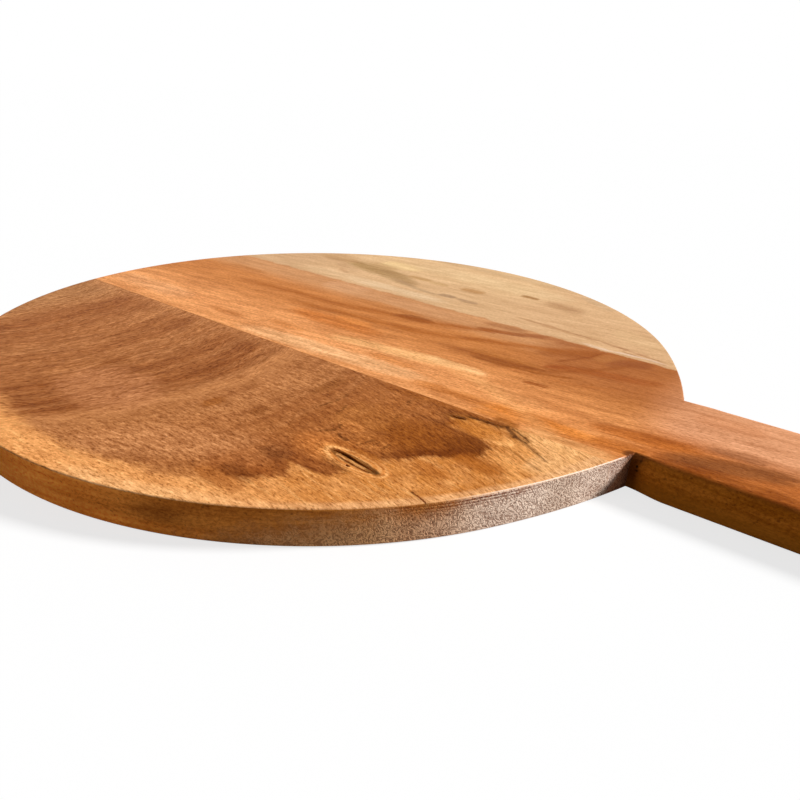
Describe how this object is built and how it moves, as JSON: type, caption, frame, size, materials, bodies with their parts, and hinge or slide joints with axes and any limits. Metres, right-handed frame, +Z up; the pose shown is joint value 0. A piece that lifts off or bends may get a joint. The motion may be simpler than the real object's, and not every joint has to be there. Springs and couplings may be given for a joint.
{
  "type": "round cutting board",
  "caption": "Round wooden cutting board with an integral paddle handle and hanging hole, glued up edge to edge from acacia staves.",
  "frame": {"origin": "centre of the round disc, on the flat underside", "axes": "+X from the disc's centre along the handle to its tip, +Z up out of the working face"},
  "size_m": [0.43, 0.3, 0.0125],
  "materials": {
    "dark_stave": "oiled satin heartwood with a yellow sapwood edge",
    "orange_stave": "oiled satin, orange-brown",
    "pale_stave": "oiled satin, pale sapwood",
    "glue": "cured wood glue, sanded flush"
  },
  "bodies": {
    "root": {"near_stave": "dark_stave", "handle_stave": "orange_stave", "far_stave": "pale_stave", "near_glue_line": "glue", "far_glue_line": "glue"}
  },
  "joints": []
}
